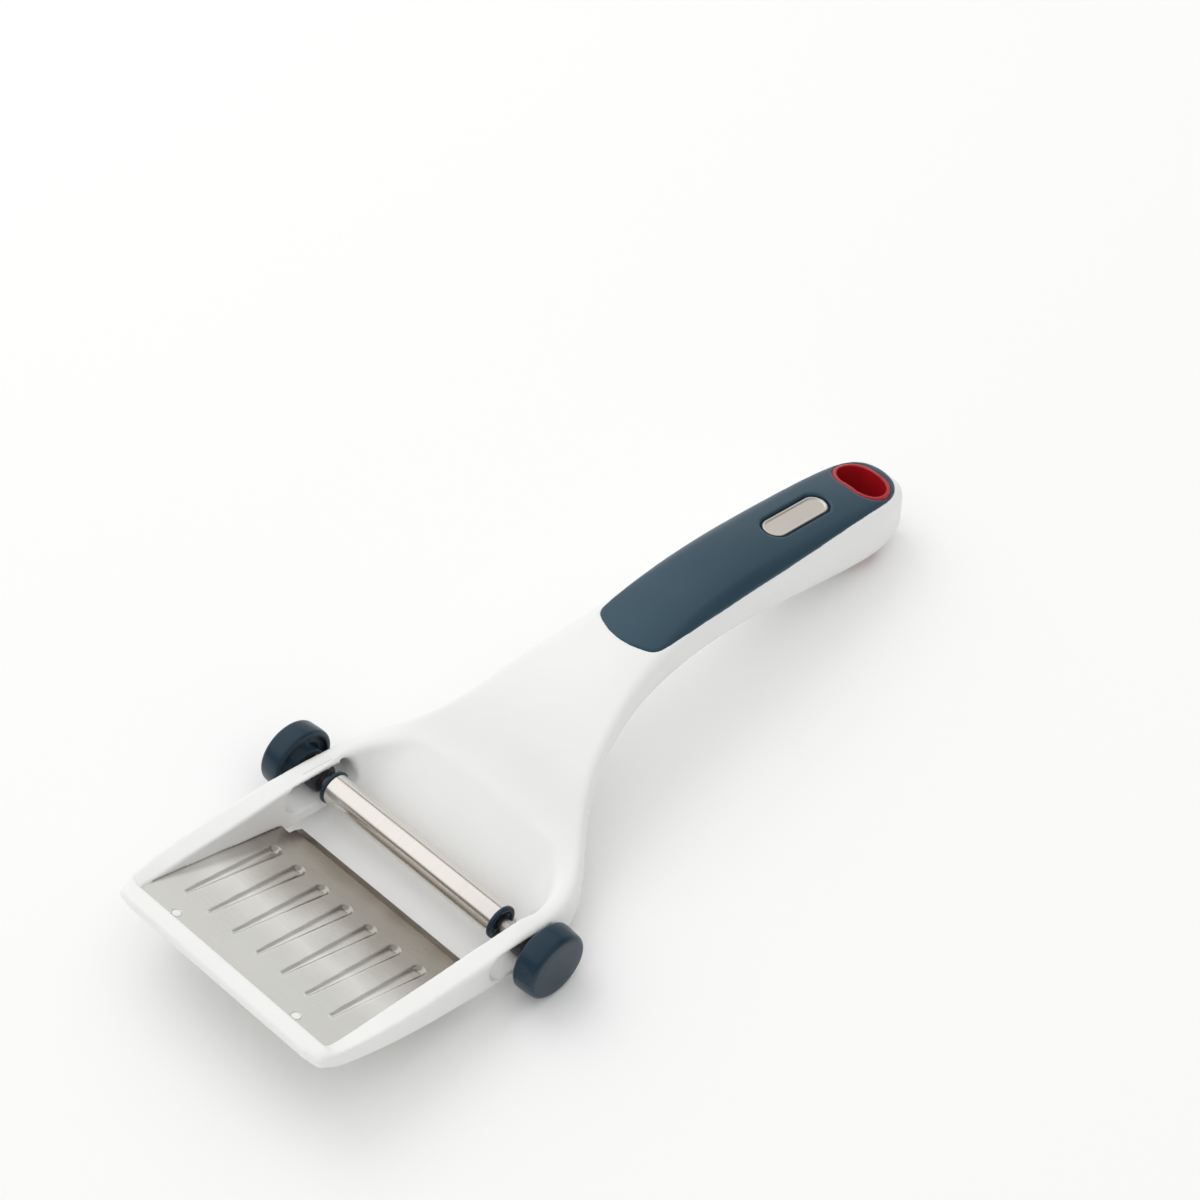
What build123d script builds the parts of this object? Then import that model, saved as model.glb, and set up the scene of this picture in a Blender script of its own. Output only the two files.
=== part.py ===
from build123d import *
import os
from math import cos, radians, sin, sqrt

# A hand-held cheese slicer: a one-piece moulded frame with a fluted steel plate, a steel roller on a
# sliding axle that sets the slice, two clamping knobs and a soft grip. It lies as it rests on a table,
# on its two knobs and the end of its handle. X runs across, +Y towards the end of the handle, +Z up.
# The origin is under the middle of its length, on the table. All lengths are in millimetres.

# Overall sizes
overall_length = 261.5
front_reach = 71.5            # front bar to the axle
handle_reach = overall_length - front_reach
knob_diameter = 20.8
head_half_width = 43.8
crest_height = 37.8           # top of the handle's arch above the table
head_slope = 12.5             # degrees, arms and slots fall towards the handle

# Frame
station_radius = 13.0         # size that the corner shares of the frame's sections follow
front_bar_width = 4.9
window_front = front_reach - front_bar_width
arm_top_width = 5.2           # the arms widen downwards from this to the next
arm_low_width = 10.05
window_half_width_top = head_half_width - arm_top_width
window_half_width_low = head_half_width - arm_low_width
window_rear_top = 24.6        # axle to the rear edge of the opening, measured along the head
window_rear_low = 5.4
window_top_level = 11.0       # the two levels that the opening's walls run between, from the axle
window_low_level = 9.5
window_corner = 13.0
window_corner_low = 7.0
window_front_corner = 2.5
arm_bevel_width = 6.5
arm_top_level = 6.0           # top of the arms above the axle, square to the head
front_edge_radius = 1.2
end_edge_radius = 3.4
overrun = 4.0                 # how far a cut runs past what it cuts

# Slots and slider blocks
slot_height = 8.1
slot_front = 15.7
slot_rear = 9.7
slider_height = 7.9
slider_half_length = 7.4
slider_width = 7.9            # the arm's outer wall to the block's inner face
slider_setback = 0.4          # the block stops this far inside the arm's outer wall
arm_draft = 0.1               # the arms stand this far inside the head's widest place
arm_outer_half_width = head_half_width - arm_draft
slider_inner_half_width = arm_outer_half_width - slider_width
fit_clearance = 0.05          # radial running clearance of the round fits

# Steel plate
plate_thickness = 1.0
plate_slope = 19.1            # degrees
plate_hole_setback = 7.1      # front of the tool to the locating holes
plate_hole_reach = front_reach - plate_hole_setback
plate_hole_share = 0.6587     # top of the plate at those holes, as a share of the crest's height
plate_hole_height = plate_hole_share * crest_height
plate_front_setback = 2.3
plate_front_reach = front_reach - plate_front_setback
blade_edge_reach = 13.7       # axle to the cutting edge
plate_side_gap = 0.2
plate_half_width = window_half_width_top - plate_side_gap
notch_reach = 18.4            # axle to the front of the corner notch
notch_width = 6.6
blade_half_width = plate_half_width - notch_width
bevel_width = 3.0
edge_land = 0.12
hole_half_spacing = 23.2
hole_diameter = 2.8
stake_diameter = 2.5
stake_proud = 0.15
ledge_setback = 9.7
ledge_reach = front_reach - ledge_setback
ledge_thickness = 1.8
flute_count = 7
flute_pitch = 9.4
flute_tip_setback = 13.9
flute_tip_reach = front_reach - flute_tip_setback
flute_end_reach = 27.6
flute_tip_half_width = 0.6
flute_tip_depth = 0.3
flute_end_half_width = 1.95
flute_end_depth = 1.0

# Axle and roller
axle_diameter = 4.0
axle_chamfer = 0.4
roller_diameter = 9.2
roller_wall = 0.6
roller_end_play = 2.5         # at each end, with the roller in the middle
roller_float = 1.15           # the roller lies this far to the left on its axle
cap_flange_diameter = 10.1
cap_flange_thickness = 1.2
cap_plug_length = 7.0
cap_dish_diameter = 7.4
cap_dish_depth = 0.6
cap_edge = 0.35
roller_length = 2 * (slider_inner_half_width - cap_flange_thickness - roller_end_play)

# Knobs
knob_thickness = 7.5
knob_stand_off = 2.3          # the arm to the knob's rim
knob_span = 2 * (arm_outer_half_width + knob_stand_off + knob_thickness)
knob_outer_edge = 2.0
knob_inner_edge = 1.2
knob_outer_diameter = 20.0    # the knob draws in a little towards its outer face
knob_dish_diameter = 17.2
knob_dish_depth = 1.8
knob_hub_diameter = 11.0
hub_gap = 0.5                 # between the knob's hub and the arm, with the knob loosened
insert_diameter = 7.0
insert_length = 6.5
insert_flange_diameter = 8.4
insert_flange_thickness = 1.0
axle_end_setback = 3.2        # the axle stops this far inside the knob's outer face

# Handle, grip, badge and hanging hole
grip_front_share = 0.4263     # axle to the corners of the grip's front edge, as a share of the handle
grip_end_rim = 1.4            # the frame's rim behind the grip
grip_front = grip_front_share * handle_reach
grip_rear = handle_reach - grip_end_rim
grip_front_bulge = 3.8
grip_front_corner = 5.0
grip_half_width = 12.5
grip_depth = 5.2              # the bed that the grip lies in, below the crest line
handle_wall = 3.0
core_depth = 6.5
core_clearance = 0.2
hole_setback = 10.5           # middle of the hanging hole to the handle's end
hole_top_share = 0.627        # top of the handle there, as a share of the crest's height
hole_reach = handle_reach - hole_setback
hole_top_height = hole_top_share * crest_height
hole_lean = 16.0              # degrees
ring_half_width = 9.4
ring_half_length = 7.1
ring_wall = 1.35
badge_setback = 39.9
badge_top_share = 0.8095
badge_reach = handle_reach - badge_setback
badge_top_height = badge_top_share * crest_height
badge_lean = 12.2             # degrees
badge_length = 24.9
badge_width = 7.7
badge_thickness = 1.3
badge_gap = 0.9
badge_sink = 0.35             # the badge's face below the grip's surface
badge_rim = 0.7
badge_rim_height = 0.3

# The frame's sections, from the front bar to the end of the handle. Each row gives shares of the reach (in
# front of the axle below zero, behind it above), the head's half width, the crest height (top and
# underside), and the station radius (crown, top corner and bottom corner).
frame_station_shares = (
    (-1.0000, 0.897, 0.722, 0.619, 0.023, 0.100, 0.100),
    (-0.8671, 0.941, 0.733, 0.508, 0.023, 0.138, 0.138),
    (-0.7273, 0.970, 0.733, 0.429, 0.023, 0.169, 0.169),
    (-0.5874, 0.987, 0.690, 0.357, 0.023, 0.177, 0.177),
    (-0.4476, 0.994, 0.628, 0.286, 0.023, 0.177, 0.185),
    (-0.2797, 0.998, 0.553, 0.204, 0.023, 0.177, 0.192),
    (-0.0839, 1.000, 0.466, 0.122, 0.027, 0.185, 0.200),
    (0.0421, 0.995, 0.389, 0.074, 0.038, 0.223, 0.215),
    (0.1053, 0.927, 0.373, 0.085, 0.046, 0.262, 0.231),
    (0.1632, 0.742, 0.487, 0.196, 0.062, 0.262, 0.262),
    (0.2263, 0.553, 0.704, 0.450, 0.077, 0.262, 0.308),
    (0.3000, 0.441, 0.878, 0.640, 0.092, 0.269, 0.300),
    (0.3789, 0.365, 0.960, 0.661, 0.108, 0.338, 0.385),
    (0.4684, 0.326, 0.997, 0.616, 0.131, 0.423, 0.531),
    (0.5632, 0.313, 1.000, 0.521, 0.146, 0.485, 0.677),
    (0.6632, 0.313, 0.942, 0.370, 0.162, 0.508, 0.815),
    (0.7684, 0.315, 0.836, 0.201, 0.169, 0.508, 0.862),
    (0.8579, 0.313, 0.738, 0.071, 0.169, 0.500, 0.846),
    (0.9211, 0.299, 0.659, 0.008, 0.162, 0.469, 0.769),
    (0.9632, 0.263, 0.598, 0.013, 0.146, 0.415, 0.646),
    (0.9868, 0.212, 0.553, 0.061, 0.123, 0.338, 0.492),
    (1.0000, 0.146, 0.519, 0.127, 0.092, 0.246, 0.338),
)
grip_line_front_share = 0.3789    # the sections from here on carry the grip
hollow_front_share = 0.4684       # and between these two the handle is hollow
hollow_rear_share = 0.8579

# The line that the inner edge of each arm's top follows, from the front bar to the axle. Each row gives a
# share of the opening's front reach, and the outer and inner heights as shares of the arms' top level.
arm_bevel_shares = (
    (-1.000, 0.33, 0.22),
    (-0.850, 0.37, 0.19),
    (-0.660, 0.42, 0.35),
    (-0.500, 0.52, 0.47),
    (-0.350, 0.65, 0.62),
    (-0.130, 0.85, 0.82),
    (0.030, 0.95, 0.92),
    (0.120, 0.97, 0.96),
)

# The line that each side of the grip follows in plan, from its front corner to the middle of its rear edge.
# Each row gives a share of the grip's length and a share of its half width.
grip_side_shares = (
    (0.00, 0.900),
    (0.11, 0.964),
    (0.25, 0.996),
    (0.42, 1.000),
    (0.60, 0.968),
    (0.76, 0.912),
    (0.88, 0.856),
    (0.945, 0.750),
    (0.982, 0.520),
    (1.00, 0.000),
)

# Places that follow from the sizes above
axle_y = front_reach - overall_length / 2
axle_z = knob_diameter / 2
head = Plane(origin=(0, axle_y, axle_z), x_dir=(1, 0, 0),
             z_dir=(0, sin(radians(head_slope)), cos(radians(head_slope))))
head_side = Plane(origin=(0, axle_y, axle_z), x_dir=head.y_dir, z_dir=(1, 0, 0))
blade_plane = Plane(origin=(0, axle_y - plate_hole_reach, plate_hole_height), x_dir=(1, 0, 0),
                    z_dir=(0, sin(radians(plate_slope)), cos(radians(plate_slope))))
hole_plane = Plane(origin=(0, axle_y + hole_reach, hole_top_height), x_dir=(1, 0, 0),
                   z_dir=(0, sin(radians(hole_lean)), cos(radians(hole_lean))))
badge_plane = Plane(origin=(0, axle_y + badge_reach, badge_top_height), x_dir=(1, 0, 0),
                    z_dir=(0, sin(radians(badge_lean)), cos(radians(badge_lean))))
floor_to_sky = crest_height + overrun


def station_plane(y):
    """An upright plane across the tool at this length, with its own y pointing up."""
    return Plane(origin=(0, y, 0), x_dir=(1, 0, 0), z_dir=(0, -1, 0))


def station_y(share):
    return axle_y + share * (front_reach if share < 0 else handle_reach)


def along_plate(reach):
    """How far a place this far in front of the axle lies from the holes, along the plate."""
    return (plate_hole_reach - reach) / cos(radians(plate_slope))


def on_axle(x):
    """A plane square to the axle at this place across the tool."""
    return Plane(origin=(x, axle_y, axle_z), x_dir=(0, 1, 0), z_dir=(1, 0, 0))


def disc(x_from, x_to, diameter):
    """A round piece on the axle between two places across the tool."""
    low = min(x_from, x_to)
    return extrude(on_axle(low) * Circle(diameter / 2), abs(x_to - x_from))


# Frame

def frame_section(row, inset=0.0):
    """One closed section of the frame: crowned top, upright sides and rounded corners."""
    y_share, width_share, top_share, low_share, crown_share, top_corner_share, low_corner_share = row
    half = width_share * head_half_width - inset
    crown = crown_share * station_radius
    top = top_share * crest_height - inset
    low = low_share * crest_height + inset
    edge = Polyline((-half, top - crown), (-half, low), (half, low), (half, top - crown))
    arc = ThreePointArc((half, top - crown), (0, top), (-half, top - crown))
    face = make_face(edge.edges() + arc.edges())
    corners = face.vertices().sort_by(Axis.Y)
    face = fillet(corners[:2], low_corner_share * station_radius - inset)
    corners = face.vertices().sort_by(Axis.Y)
    face = fillet(corners[-2:], top_corner_share * station_radius - inset)
    return station_plane(station_y(y_share)) * face


def make_frame_form():
    """The whole outer form of the moulding, as one smooth skin from the front bar to the handle's end."""
    form = loft([frame_section(row) for row in frame_station_shares])
    ends = form.faces().sort_by(Axis.Y)
    form = fillet(ends[-1].edges(), end_edge_radius)
    ends = form.faces().sort_by(Axis.Y)
    return fillet(ends[0].edges(), front_edge_radius)


def window_outline(front, rear, half, corner, front_corner):
    face = make_face(Polyline((-half, -front), (half, -front), (half, rear), (-half, rear), close=True))
    face = fillet(face.vertices().group_by(Axis.Y)[-1], corner)
    return fillet(face.vertices().group_by(Axis.Y)[0], front_corner)


def make_window():
    """The opening between the arms. Its walls draw in downwards and its rear wall slopes to the roller."""
    front = window_front / cos(radians(head_slope))
    top = window_outline(front, window_rear_top, window_half_width_top, window_corner, window_front_corner)
    low = window_outline(front, window_rear_low, window_half_width_low, window_corner_low,
                         window_front_corner)
    return loft([head * Pos(0, 0, -window_low_level) * low, head * Pos(0, 0, window_top_level) * top],
                ruled=True)


def make_arm_bevel(side):
    """What is taken off an arm's top so that it falls inwards, deepest between the bar and the axle."""
    front = window_front / cos(radians(head_slope))
    outer_x = arm_outer_half_width
    faces = []
    for along, outer_share, inner_share in arm_bevel_shares:
        outer = outer_share * arm_top_level
        inner = inner_share * arm_top_level
        fall = (outer - inner) / arm_bevel_width
        low_x = outer_x - arm_bevel_width - overrun
        high_x = outer_x + overrun
        corners = ((low_x, outer - fall * (outer_x - low_x)), (high_x, outer + fall * overrun),
                   (high_x, arm_top_level + overrun), (low_x, arm_top_level + overrun))
        origin = head.from_local_coords((0, along * front, 0))
        plane = Plane(origin=origin, x_dir=(side, 0, 0), z_dir=head.y_dir * -side)
        faces.append(plane * make_face(Polyline(*corners, close=True)))
    return loft(faces)


def make_slots():
    middle = (slot_rear - slot_front) / 2
    slot = Pos(middle, 0) * SlotOverall(slot_front + slot_rear, slot_height)
    return extrude(head_side * slot, head_half_width + overrun, both=True)


def make_plate_blank(clear=0.0):
    """The sheet before its flutes, holes and ground edge."""
    front = along_plate(plate_front_reach) - clear
    step = along_plate(notch_reach)
    edge = along_plate(blade_edge_reach)
    outline = Polyline((-plate_half_width, front), (plate_half_width, front), (plate_half_width, step),
                       (blade_half_width, step), (blade_half_width, edge), (-blade_half_width, edge),
                       (-blade_half_width, step), (-plate_half_width, step), close=True)
    return extrude(blade_plane * make_face(outline), -plate_thickness)


def make_ledge():
    """The strip of the frame under the front of the plate, with its two stakes."""
    front = along_plate(plate_front_reach)
    depth = along_plate(ledge_reach) - front
    under = blade_plane * Pos(0, front + depth / 2, -plate_thickness - ledge_thickness / 2)
    ledge = under * Box(2 * window_half_width_top, depth, ledge_thickness)
    for side in (-1, 1):
        foot = blade_plane * Pos(side * hole_half_spacing, 0, -plate_thickness - ledge_thickness / 2)
        ledge += extrude(foot * Circle(stake_diameter / 2),
                         plate_thickness + ledge_thickness / 2 + stake_proud)
    return ledge


def oval(half_width, half_length):
    """A stadium that lies across the tool."""
    return SlotOverall(2 * half_width, 2 * half_length)


def make_hole(grow=0.0):
    """A body that fills the hanging hole, right through the handle."""
    face = oval(ring_half_width + grow, ring_half_length + grow)
    return extrude(hole_plane * face, floor_to_sky, both=True)


def grip_line(offset):
    """The region above a line this far below the crest, seen from the side, across the whole tool."""
    rows = [row for row in frame_station_shares if row[0] >= grip_line_front_share]
    points = [(station_y(row[0]), row[2] * crest_height - offset) for row in rows]
    first, last = points[0], points[-1]
    line = Spline(*points)
    tail = Polyline(last, (last[0] + overrun, last[1]), (last[0] + overrun, floor_to_sky),
                    (first[0], floor_to_sky), first)
    face = Plane.YZ * make_face(line.edges() + tail.edges())
    return extrude(face, head_half_width, both=True)


def make_grip_region(form):
    """The top of the handle that the soft grip covers, with a bowed front edge and round corners."""
    front = axle_y + grip_front
    length = grip_rear - grip_front
    right = [(side * grip_half_width, front + along * length) for along, side in grip_side_shares]
    left = [(-x, y) for x, y in reversed(right[:-1])]
    bow = ThreePointArc(left[-1], (0, front - grip_front_bulge), right[0])
    plan = make_face(bow.edges() + Spline(*right, *left).edges())
    plan = fillet(plan.vertices().group_by(Axis.Y)[0], grip_front_corner)
    return form & grip_line(grip_depth) & extrude(plan, floor_to_sky)


def make_hollow(clear=0.0):
    """The hollow of the handle, or with a clearance what its plug is cut from."""
    rows = [row for row in frame_station_shares if hollow_front_share <= row[0] <= hollow_rear_share]
    return loft([frame_section(row, handle_wall + clear) for row in rows])


def make_frame(form, grip_region):
    frame = form - make_window()
    for side in (-1, 1):
        frame -= make_arm_bevel(side)
    frame += make_ledge()
    frame -= make_slots()
    frame -= make_plate_blank() - make_stakes()
    frame -= grip_region
    frame -= make_hollow()
    frame -= make_hole()
    return frame


def make_stakes():
    stakes = Part()
    for side in (-1, 1):
        foot = blade_plane * Pos(side * hole_half_spacing, 0, -plate_thickness - overrun)
        stakes += extrude(foot * Circle(stake_diameter / 2), plate_thickness + overrun + stake_proud)
    return stakes


# Steel plate

def flute_profile(grow):
    """Half the outline of a flute: two round ends joined by a straight flank, about its own axis."""
    length = along_plate(flute_end_reach) - along_plate(flute_tip_reach)
    tip = (flute_tip_half_width**2 + flute_tip_depth**2) / (2 * flute_tip_depth) + grow
    end = (flute_end_half_width**2 + flute_end_depth**2) / (2 * flute_end_depth) + grow
    return tip, end, length


def make_flute(x, grow=0.0):
    """A long drop-shaped body that presses one flute into the sheet."""
    tip, end, length = flute_profile(grow)
    tip_rise = tip - grow - flute_tip_depth
    end_rise = end - grow - flute_end_depth
    start = along_plate(flute_tip_reach) + tip - grow
    tilt = Plane(origin=blade_plane.from_local_coords((x, start, tip_rise)),
                 x_dir=(blade_plane.y_dir * length + blade_plane.z_dir * (end_rise - tip_rise)),
                 z_dir=(1, 0, 0))
    lean = (end - tip) / length
    rise = sqrt(1 - lean**2)
    half = Polyline((-tip * lean, tip * rise), (length - end * lean, end * rise))
    round_end = ThreePointArc((length - end * lean, end * rise),
                              (length + end * sqrt(0.5), end * sqrt(0.5)), (length + end, 0))
    base = Line((length + end, 0), (-tip, 0))
    round_tip = ThreePointArc((-tip, 0), (-tip * sqrt(0.5), tip * sqrt(0.5)), (-tip * lean, tip * rise))
    face = make_face(half.edges() + round_end.edges() + base.edges() + round_tip.edges())
    return revolve(tilt * face, Axis(tilt.origin, tilt.x_dir))


def make_plate():
    plate = make_plate_blank()
    below = blade_plane * Pos(0, 0, -plate_half_width) * Box(4 * plate_half_width, 4 * plate_half_width,
                                                            2 * plate_half_width)
    first = -(flute_count - 1) / 2
    places = [(first + number) * flute_pitch for number in range(flute_count)]
    for x in places:
        plate += make_flute(x, plate_thickness) & below
    for x in places:
        plate -= make_flute(x)
    for side in (-1, 1):
        foot = blade_plane * Pos(side * hole_half_spacing, 0, -plate_thickness - overrun)
        plate -= extrude(foot * Circle(hole_diameter / 2), plate_thickness + 2 * overrun)
    return plate - make_bevel_cut()


def make_bevel_cut():
    """The ground top of the cutting edge."""
    edge = along_plate(blade_edge_reach)
    wedge = make_face(Polyline((edge - bevel_width, 0), (edge, edge_land - plate_thickness),
                               (edge + overrun, edge_land - plate_thickness), (edge + overrun, overrun),
                               (edge - bevel_width, overrun), close=True))
    side = Plane(origin=blade_plane.origin, x_dir=blade_plane.y_dir, z_dir=(1, 0, 0))
    return extrude(side * wedge, plate_half_width + overrun, both=True)


# Carriage

def make_axle():
    half = knob_span / 2 - axle_end_setback
    rod = disc(-half, half, axle_diameter)
    return chamfer(rod.edges().filter_by(GeomType.CIRCLE), axle_chamfer)


def make_slider(side):
    """The block that fills the slot's height and carries the axle through the arm."""
    length = arm_outer_half_width - slider_setback - slider_inner_half_width
    low = slider_inner_half_width if side > 0 else -slider_inner_half_width - length
    block = SlotOverall(2 * slider_half_length, slider_height)
    body = extrude(Plane(origin=(low, axle_y, axle_z), x_dir=head.y_dir, z_dir=(1, 0, 0)) * block, length)
    return body - disc(side * (head_half_width + overrun), 0, axle_diameter + fit_clearance)


# Roller

def make_roller_tube():
    half = roller_length / 2
    tube = disc(-half - roller_float, half - roller_float, roller_diameter)
    return tube - disc(-half - roller_float - overrun, half - roller_float + overrun,
                       roller_diameter - 2 * roller_wall)


def make_roller_cap(side):
    """The bearing cap in one end of the roller: a plug, a flange and a dished outer face."""
    face = side * roller_length / 2 - roller_float
    outer = face + side * cap_flange_thickness
    flange = disc(face, outer, cap_flange_diameter)
    flange = fillet(flange.edges().filter_by(GeomType.CIRCLE), cap_edge)
    plug = disc(face - side * cap_plug_length, face, roller_diameter - 2 * roller_wall)
    cap = flange + plug + disc(face, face + side * cap_edge, cap_dish_diameter)
    cap -= disc(outer - side * cap_dish_depth, outer + side * overrun, cap_dish_diameter)
    return cap - disc(face - side * (cap_plug_length + overrun), outer + side * overrun,
                      axle_diameter + 2 * fit_clearance)


# Knobs

def make_knob(side):
    """A round knob with soft edges, a dished inner face and a hub that meets the arm."""
    outer = knob_span / 2
    inner = outer - knob_thickness
    profile = make_face(Polyline((inner, 0), (inner, knob_diameter / 2),
                                 (inner + 2 * knob_inner_edge, knob_diameter / 2),
                                 (outer, knob_outer_diameter / 2), (outer, 0), close=True))
    corners = profile.vertices().filter_by(lambda corner: corner.Y > 0).sort_by(Axis.X)
    profile = fillet(corners[0], knob_inner_edge)
    corners = profile.vertices().filter_by(lambda corner: corner.Y > 0).sort_by(Axis.X)
    profile = fillet(corners[-1], knob_outer_edge)
    across = Plane(origin=(0, axle_y, axle_z), x_dir=(side, 0, 0), z_dir=(0, side, 0))
    body = revolve(across * profile, Axis((0, axle_y, axle_z), (1, 0, 0)))
    body -= disc(side * (inner - overrun), side * (inner + knob_dish_depth), knob_dish_diameter)
    hub_face = side * (arm_outer_half_width + hub_gap)
    body += disc(hub_face, side * (inner + 2 * knob_dish_depth), knob_hub_diameter)
    body -= make_insert_blank(side)
    return body - disc(hub_face - side * overrun, side * (outer - axle_end_setback + axle_chamfer),
                       axle_diameter + 2 * fit_clearance)


def make_insert_blank(side):
    start = side * (arm_outer_half_width + hub_gap)
    step = start + side * insert_flange_thickness
    return disc(start, step, insert_flange_diameter) + disc(step, start + side * insert_length,
                                                            insert_diameter)


def make_insert(side):
    """The metal thread insert moulded into the knob."""
    start = side * (arm_outer_half_width + hub_gap)
    return make_insert_blank(side) - disc(start - side * overrun, start + side * (insert_length + overrun),
                                          axle_diameter + fit_clearance)


# Handle fittings

def make_ring(form):
    """The coloured liner of the hanging hole, from the grip's surface to the underside."""
    bore = extrude(hole_plane * oval(ring_half_width - ring_wall, ring_half_length - ring_wall),
                   floor_to_sky, both=True)
    return (make_hole() & form) - bore


def make_badge_recess():
    depth = badge_thickness + badge_sink
    outline = SlotOverall(badge_length + 2 * badge_gap, badge_width + 2 * badge_gap, 90)
    return extrude(badge_plane * Pos(0, 0, -depth) * outline, depth + overrun)


def make_badge():
    """A bare steel badge with a thin raised rim."""
    base = badge_plane * Pos(0, 0, -badge_thickness - badge_sink)
    badge = extrude(base * SlotOverall(badge_length, badge_width, 90), badge_thickness)
    floor = SlotOverall(badge_length - 2 * badge_rim, badge_width - 2 * badge_rim, 90)
    return badge - extrude(badge_plane * Pos(0, 0, -badge_sink - badge_rim_height) * floor,
                           badge_rim_height + overrun)


def make_grip(grip_region):
    grip = grip_region - make_hole()
    return grip - make_badge_recess()


def make_core():
    """The hard insert that closes the hollow handle under the grip."""
    plug = make_hollow(core_clearance) - grip_line(grip_depth + core_clearance)
    return plug & grip_line(grip_depth + core_depth)


def write_part(name, shape):
    export_step(shape, f"parts/{name}.step")


def main():
    os.makedirs("parts", exist_ok=True)
    form = make_frame_form()
    grip_region = make_grip_region(form)
    write_part("frame_body", make_frame(form, grip_region))
    write_part("blade_plate", make_plate())
    write_part("grip_pad", make_grip(grip_region))
    write_part("grip_core", make_core())
    write_part("hang_ring", make_ring(form))
    write_part("badge", make_badge())
    write_part("axle_rod", make_axle())
    write_part("roller_tube", make_roller_tube())
    for side, word in ((-1, "left"), (1, "right")):
        write_part(f"slider_block_{word}", make_slider(side))
        write_part(f"roller_cap_{word}", make_roller_cap(side))
        write_part(f"knob_{word}", make_knob(side))
        write_part(f"knob_insert_{word}", make_insert(side))


main()
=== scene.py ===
# %% [markdown]
# # A cheese slicer, dressed in Blender
#
# The tool is a hand-held slicer. A white moulded frame carries a fluted steel plate, a steel roller that
# sets the slice, two dark knobs and a soft slate-blue grip with a red-lined hanging hole. Its real shapes
# come from the construction model, which loads first and stays where it is. This script gives each piece
# its finish, and remakes the pieces that need soft edges or finer faces. Blender works in metres, so a
# length in millimetres is written with MM after it.

# %% Load the construction model
import math

import bmesh
import bpy
from mathutils import Matrix, Vector
from mathutils.bvhtree import BVHTree
from mathutils.kdtree import KDTree


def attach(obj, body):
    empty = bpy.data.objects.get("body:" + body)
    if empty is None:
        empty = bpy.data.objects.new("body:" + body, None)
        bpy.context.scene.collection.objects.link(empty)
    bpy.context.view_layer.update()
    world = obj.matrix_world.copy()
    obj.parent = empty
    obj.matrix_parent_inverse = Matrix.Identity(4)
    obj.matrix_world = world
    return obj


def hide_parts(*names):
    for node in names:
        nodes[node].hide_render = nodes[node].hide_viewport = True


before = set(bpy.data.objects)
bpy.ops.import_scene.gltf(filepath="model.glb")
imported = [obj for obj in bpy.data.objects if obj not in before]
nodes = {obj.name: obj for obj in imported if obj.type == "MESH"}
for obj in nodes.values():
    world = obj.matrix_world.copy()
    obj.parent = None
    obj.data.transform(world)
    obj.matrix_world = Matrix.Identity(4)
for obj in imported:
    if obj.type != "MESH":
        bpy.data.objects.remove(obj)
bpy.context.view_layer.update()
MM = 0.001
axle_y, axle_z = -59.25 * MM, 10.4 * MM

# %% [markdown]
# ## The camera
#
# The photograph looks down at the tool from the front right. Its perspective is gentle, which means a long
# lens about a metre away. A camera can be placed by hand until the picture fits, but here it is placed by
# two angles and a distance from the point it looks at, because those are what the picture really tells.

# %% Camera
camera_data = bpy.data.cameras.new("photo_camera")
camera_data.sensor_width = 36.0
camera_data.lens = 102.4
camera = bpy.data.objects.new("photo_camera", camera_data)
bpy.context.scene.collection.objects.link(camera)
look_at = Vector((-26.9 * MM, 38.2 * MM, 15 * MM))
azimuth, elevation, distance = math.radians(44.42), math.radians(48.4), 978 * MM
away = Vector((math.sin(azimuth) * math.cos(elevation), -math.cos(azimuth) * math.cos(elevation),
               math.sin(elevation)))
camera.location = look_at + away * distance
camera.rotation_euler = (-away).to_track_quat("-Z", "Y").to_euler()
bpy.context.scene.camera = camera
print("camera at mm:", [round(v / MM) for v in camera.location])

# %% [markdown]
# ## Two small helpers for materials
#
# Paint charts and photo editors write a colour as six hex digits, which are sRGB values. The shaders want
# linear light, so one function converts them. A second one adds a shader node, fills in its settings and
# makes its links, which keeps each material short enough to read.

# %% Colours and shader nodes
def srgb(text):
    """A hex colour turned into the linear values that the shaders use."""
    values = [int(text[i:i + 2], 16) / 255 for i in (0, 2, 4)]
    return [v / 12.92 if v <= 0.04045 else ((v + 0.055) / 1.055) ** 2.4 for v in values] + [1.0]


def add_node(tree, kind, settings=(), links=()):
    """A shader node, its settings by attribute or input, and its links from sockets of other nodes."""
    node = tree.nodes.new(kind)
    for name, value in dict(settings).items():
        if isinstance(name, str) and hasattr(node, name):
            setattr(node, name, value)
        else:
            node.inputs[name].default_value = value
    for target, source in dict(links).items():
        tree.links.new(source, node.inputs[target])
    return node


def start_material(name):
    """An empty material with its node tree and the principled shader that every one here ends in."""
    material = bpy.data.materials.new(name)
    material.use_nodes = True
    return material, material.node_tree, material.node_tree.nodes["Principled BSDF"]


# %% [markdown]
# ## Moulded plastics
#
# The frame is white ABS, and the knobs and the roller's caps are the same plastic in a dark slate blue.
# Injection moulding copies the steel mould, so the skin is even but never perfect: a fine spark-eroded
# grain of a few tenths of a millimetre, and slow waves in the gloss where the plastic cooled unevenly.
# All the plastics share this build-up, so one function makes them and each gets its own numbers. The last
# one, shine, is how strongly the skin mirrors: the knobs are duller than a plastic fresh from the mould.

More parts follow.
